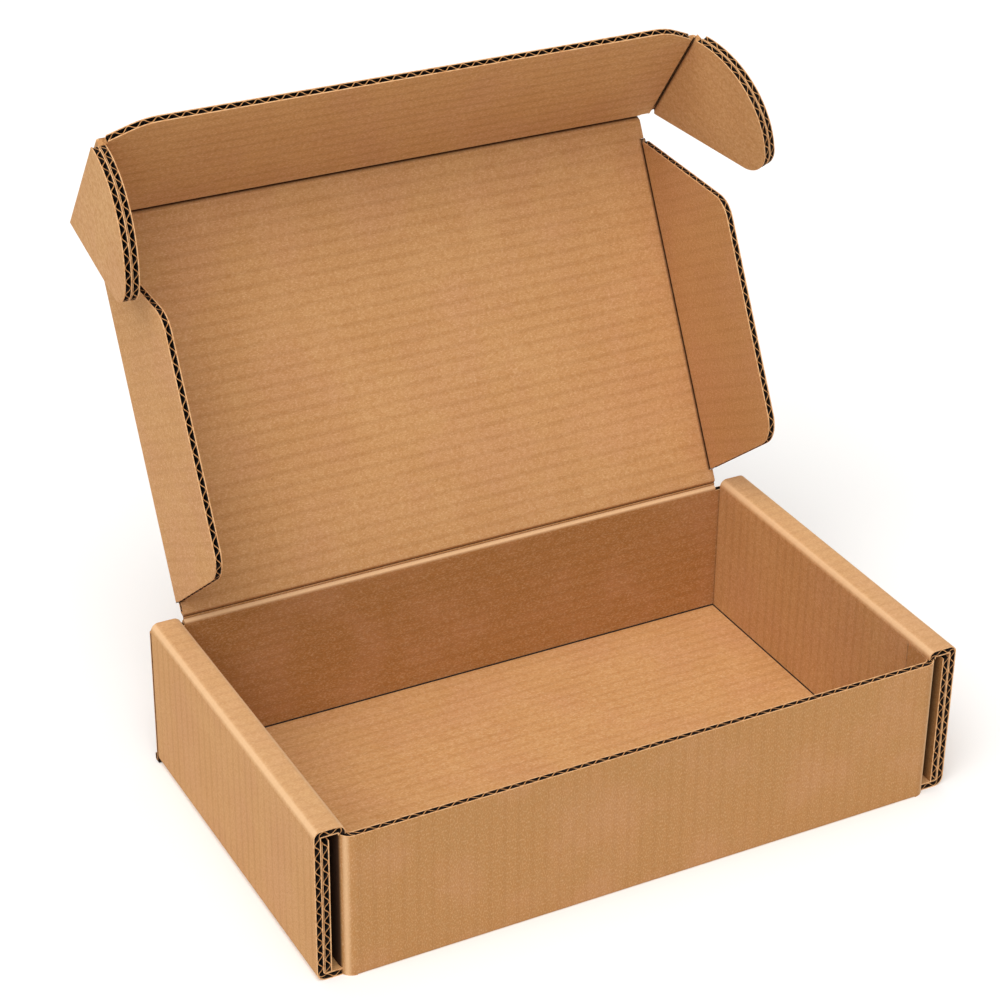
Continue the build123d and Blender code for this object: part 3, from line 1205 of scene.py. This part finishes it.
@dataclass
class TuckFlap:
    """The flap along the lid's free edge, with slanted free corners.

    Args:
        wardrobe: the finishes.
        creases: the creases that move.
        lid: the lid that it hangs on.
        length: from the crease to the free edge.
        cut_run: how far a slanted corner runs in from the ear's crease.
        cut_drop: how far it drops.
        corner: radius where it meets the free edge.
        ear_start: from the flap's crease to the ears.
    """

    wardrobe: Wardrobe
    creases: Creases
    lid: Lid
    length: float = 69.5
    cut_run: float = 18.0
    cut_drop: float = 10.0
    corner: float = 25.0
    ear_start: float = 2.5

    def __post_init__(self) -> None:
        """Works out the panel's place."""
        self.up, self.inward = leaning(self.creases.lid_fold.rest - self.creases.tuck_fold.rest)
        self.ear_x = abs(self.creases.ears[Side.RIGHT]["pos_m"][0]) / MM
        self.ear_top = self.length - self.cut_drop
        self.place = axes(self.creases.far, X, self.up, self.inward)

    def build(self) -> None:
        """Makes the tuck flap."""
        crease, x, draft, strip = self.creases.tuck_fold, self.ear_x, Draft(), CrushedStrip()
        folds = {side: self.creases.ear_fold(side) for side in Side}
        root, half = crease.reach, self.lid.half
        right, left = x - folds[Side.RIGHT].reach, folds[Side.LEFT].reach - x
        slant = (self.length - self.ear_top) / self.cut_run
        line = [(right, root), (right, self.ear_top + (x - right) * slant),
                (x - self.cut_run, self.length), (self.cut_run - x, self.length),
                (left, self.ear_top + (left + x) * slant), (left, root)]
        panel = FlatBoard(Route(line, [0.0, self.corner, self.corner, 0.0]), self.place)
        first, last = line[1][1] - root, panel.rim.length - (line[4][1] - root)
        panel.add(draft, ((first + BOARD.margin, last - BOARD.margin),), seed=51)
        surface = panel.surface
        strip.add(draft, lambda u, v, w: surface(v, u, w), -half, half, crease)
        for side, fold in folds.items():
            strip.add(draft, lambda u, v, w: surface(side.value * (x - u), v, w),
                      self.ear_start, self.ear_top, fold)
        liner = KraftLiner("kraft_liner_tuck", self.up, X, bands=0.42, tint="#C89660")
        settle(self.wardrobe.dress(draft, "tuck_flap_panel", liner), "tuck_flap", "tuck_flap")
        add_crease(self.wardrobe, "tuck_flap_fold", ("lid", "tuck_flap"), self.creases.far, X,
                   (-half, half), (-self.lid.inward, -self.inward))


@dataclass
class Ear:
    """A doubled fan-shaped ear at one end of the tuck flap.

    Args:
        wardrobe: the finishes.
        tuck: the flap that it hangs on.
        side: the flap's end.
        reach: from the crease to the tip.
        tip: height of the tip.
        fan_out: a point that the fan's curve runs through, out from the crease.
        fan_down: its height.
        corner: radius of the tip.
    """

    wardrobe: Wardrobe
    tuck: TuckFlap
    side: Side
    reach: float = 65.0
    tip: float = 32.0
    fan_out: float = 38.0
    fan_down: float = 62.5
    corner: float = 12.0

    def outline(self) -> Route:
        """The rim: straight slant, round tip and the fan's curve to the tuck flap's corner."""
        start, top = Vector((0, self.tuck.ear_start)), Vector((0, self.tuck.ear_top))
        tip, through = Vector((self.reach, self.tip)), Vector((self.fan_out, self.fan_down))
        centre, radius = circle_through(tip, through, top)
        slant = (tip - start).normalized()
        lifted = start + turned(slant, math.pi / 2) * self.corner - centre
        inner, half = radius - self.corner, lifted.dot(slant)
        along = -half + math.sqrt(half * half - lifted.length_squared + inner * inner)
        hub = centre + lifted + slant * along
        root = self.tuck.creases.ear_fold(self.side).reach
        begin = math.atan2(*(start + slant * along - hub).yx)
        meet = math.atan2(*(hub - centre).yx)
        finish = math.acos((root - centre.x) / radius)
        points = [start + slant * (root / slant.x), *arc_points(hub, self.corner, begin, meet),
                  *arc_points(centre, radius, meet, finish)[1:]]
        return Route([tuple(p) for p in points], [0.0] * (len(points) - 2))

    def build(self) -> None:
        """Makes the ear's two plies, the outer one with a cut edge at its root."""
        name, fold = f"ear_{self.side.word}", self.tuck.creases.ear_fold(self.side)
        origin = self.tuck.creases.far + X * self.side.value * self.tuck.ear_x
        place, out, normal = folded(origin, self.side, fold.rest, self.tuck.up, self.tuck.inward)
        draft, rim, margin = Draft(), self.outline(), BOARD.margin
        low, high = rim.ring[0], rim.ring[-1]
        plies = [FlatBoard(rim, place, 0.0, BOARD.seam), FlatBoard(rim, place, -BOARD.thickness)]
        for number, ply in enumerate(plies):
            ply.add(draft, ((margin, rim.length - margin),), 61 + 2 * number + self.side.value)
        add_flutes(draft, ply.surface, lambda along: (low + Vector((0, along)), Vector((1, 0))),
                   margin, high.y - low.y - margin, 67, ply.middle)
        CrushedStrip().add(draft, ply.surface, low.y, high.y, fold)
        liner = KraftLiner(f"kraft_liner_{name}", self.tuck.up, out, bands=0.2, tint="#CA9C69")
        settle(self.wardrobe.dress(draft, f"{name}_plies", liner), name, name)
        add_crease(self.wardrobe, f"{name}_fold", ("tuck_flap", name), origin, self.tuck.up,
                   (self.tuck.ear_start, self.tuck.ear_top), (-self.tuck.inward, -normal))


def leaning(angle: float) -> tuple[Vector, Vector]:
    """Up and inside directions of a panel that leans back by an angle in degrees."""
    c, s = math.cos(math.radians(angle)), math.sin(math.radians(angle))
    return Vector((0, s, c)), Vector((0, -c, s))


def arc_points(centre: Vector, radius: float, start: float, end: float,
               step: float = math.radians(5)) -> list[Vector]:
    """Points round a circle from one angle to another, in radians."""
    steps = max(2, math.ceil(abs(end - start) / step))
    angles = (start + (end - start) * number / steps for number in range(steps + 1))
    return [centre + Vector((math.cos(a), math.sin(a))) * radius for a in angles]


def circle_through(first: Vector, second: Vector, third: Vector) -> tuple[Vector, float]:
    """Centre and radius of the circle through three points."""
    a, b = second - first, third - first
    area = 2 * (a.x * b.y - a.y * b.x)
    offset = Vector((b.y * a.length_squared - a.y * b.length_squared,
                     a.x * b.length_squared - b.x * a.length_squared)) / area
    return first + offset, offset.length


def folded(origin: Vector, side: Side, fold: float, up: Vector,
           inward: Vector) -> tuple[Matrix, Vector, Vector]:
    """The place of a panel that is folded in about a crease.

    Args:
        origin: a point on the crease.
        side: the side that the panel hangs on.
        fold: its angle from its neighbour's plane, in degrees.
        up: direction of the crease.
        inward: the neighbour's inside direction.

    Returns:
        The place, the direction out from the crease, and the panel's own inside direction.
    """
    c, s = math.cos(math.radians(fold)), math.sin(math.radians(fold))
    out = X * side.value * c + inward * s
    normal = X * -side.value * s + inward * c
    return axes(origin, out, up, normal), out, normal


def add_crease(wardrobe: Wardrobe, name: str, bodies: tuple[str, str], origin: Vector,
               along: Vector, span: tuple[float, float], arms: tuple[Vector, Vector]) -> None:
    """The outside of a fold, made at its resting angle.

    Args:
        wardrobe: the finishes.
        name: the piece's name.
        bodies: the two bodies that it lies between, named only in the log.
        origin: a point on the crease.
        along: the crease's direction.
        span: where it begins and ends along the crease, from the origin.
        arms: from the crease to each panel's face on the outside of the fold.
    """
    angle, steps, core, face = arms[0].angle(arms[1]), 10, 0.15, BOARD.half
    turns = [k / steps * angle for k in range(steps + 1)]
    rays = [(arms[0] * math.sin(angle - turn) + arms[1] * math.sin(turn)) / math.sin(angle)
            for turn in turns]
    draft = Draft()
    rows = {(r, v): [(origin + along * v + ray * r) * MM for ray in rays]
            for r in (face, core) for v in span}
    # Painted highlight along the middle of the fold's outside; the core takes the flutes' painted
    # shade.
    wear = [math.sin(math.pi * k / steps) for k in range(steps + 1)]
    draft.grid([rows[face, v] for v in span], Tone.LINER, wear)
    draft.grid([rows[core, v] for v in span], Tone.HOLLOW)
    for v in span:
        draft.grid([rows[face, v], rows[core, v]], Tone.RAW)
    across = arms[0].cross(along).normalized()
    piece = wardrobe.dress(draft, name, KraftLiner(f"kraft_liner_{name}", across, along, bands=0.0))
    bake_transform(piece)
    LOG.info("%s bends between %s and %s", name, *bodies)


@dataclass(frozen=True)
class Lamp:
    """Far soft light: the direction that it comes from, its width in degrees and its strength."""

    name: str
    source: tuple[float, float, float]
    width: float
    strength: float


@dataclass
class Studio:
    """Pale floor, soft light and the camera at the photo's angle.

    Args:
        eye: where the camera stands, in millimetres.
        azimuth: where it looks from, in degrees round from the front.
        elevation: its angle over the floor.
        roll: its turn about its own axis.
        lens: focal length in millimetres.
        sensor: the sensor's width.
        ambient: strength of the white room.
        lamps: the lights.
        paper: the floor's colour.
        paper_size: its width in metres.
        paper_roughness: how matt it is.
    """

    eye: tuple[float, float, float] = (-488.0, -870.6, 696.1)
    azimuth: float = -27.962
    elevation: float = 29.249
    roll: float = 0.672
    lens: float = 99.05
    sensor: float = 36.0
    ambient: float = 0.43
    lamps: tuple[Lamp, ...] = (
        Lamp("key_from_upper_left", (-0.37, -0.37, 0.85), 60.0, 2.7),
        Lamp("top_fill", (0.1, 0.1, 1.0), 30.0, 0.25),
    )
    paper: str = "#F6F5F3"
    paper_size: float = 12.0
    paper_roughness: float = 0.9

    def build(self) -> None:
        """Sets the stage."""
        scene = bpy.context.scene
        scene.view_settings.view_transform = "Standard"
        self.floor()
        self.sky(scene)
        for lamp in self.lamps:
            self.hang(scene, lamp)
        self.camera(scene)

    def floor(self) -> None:
        """A wide sheet of white paper under the box."""
        bpy.ops.mesh.primitive_plane_add(size=self.paper_size)
        floor = bpy.context.object
        floor.name = "paper_floor"
        paper, tree, _ = new_material("white_paper")
        add_surface(tree, {"Base Color": hex_colour(self.paper), "Roughness": self.paper_roughness})
        floor.data.materials.append(paper)

    def sky(self, scene: bpy.types.Scene) -> None:
        """Even white light from all round."""
        world = bpy.data.worlds.new("white_room")
        world.use_nodes = True
        background = world.node_tree.nodes["Background"]
        background.inputs["Color"].default_value = hex_colour("#FFFFFF")
        background.inputs["Strength"].default_value = self.ambient
        scene.world = world

    def hang(self, scene: bpy.types.Scene, lamp: Lamp) -> None:
        """Hangs one light, pointing at the object."""
        data = bpy.data.lights.new(lamp.name, "SUN")
        data.angle, data.energy = math.radians(lamp.width), lamp.strength
        light = bpy.data.objects.new(lamp.name, data)
        light.rotation_euler = (-Vector(lamp.source)).to_track_quat("-Z", "Y").to_euler()
        scene.collection.objects.link(light)

    def camera(self, scene: bpy.types.Scene) -> None:
        """The camera, as fitted to the photo."""
        a, e, r = (math.radians(x) for x in (self.azimuth, self.elevation, self.roll))
        back = Vector((math.sin(a) * math.cos(e), -math.cos(a) * math.cos(e), math.sin(e)))
        level = Vector((math.cos(a), math.sin(a), 0))
        plumb = back.cross(level)
        right = level * math.cos(r) + plumb * math.sin(r)
        up = plumb * math.cos(r) - level * math.sin(r)
        data = bpy.data.cameras.new("photo_camera")
        data.lens, data.sensor_width = self.lens, self.sensor
        camera = bpy.data.objects.new("photo_camera", data)
        camera.matrix_world = axes(Vector(self.eye) * MM, right, up, back)
        scene.collection.objects.link(camera)
        scene.camera = camera


CREASES = Creases()


def main() -> None:
    """Builds the box and its stage."""
    logging.basicConfig(level=logging.INFO, format="%(name)s: %(message)s")
    wardrobe = Wardrobe()
    lid = Lid(wardrobe, CREASES)
    tuck = TuckFlap(wardrobe, CREASES, lid)
    flaps = [SideFlap(wardrobe, lid, side) for side in Side]
    ears = [Ear(wardrobe, tuck, side) for side in Side]
    for part in (Tray(wardrobe, CREASES), lid, *flaps, tuck, *ears, Studio()):
        part.build()


if __name__ == "__main__":
    main()
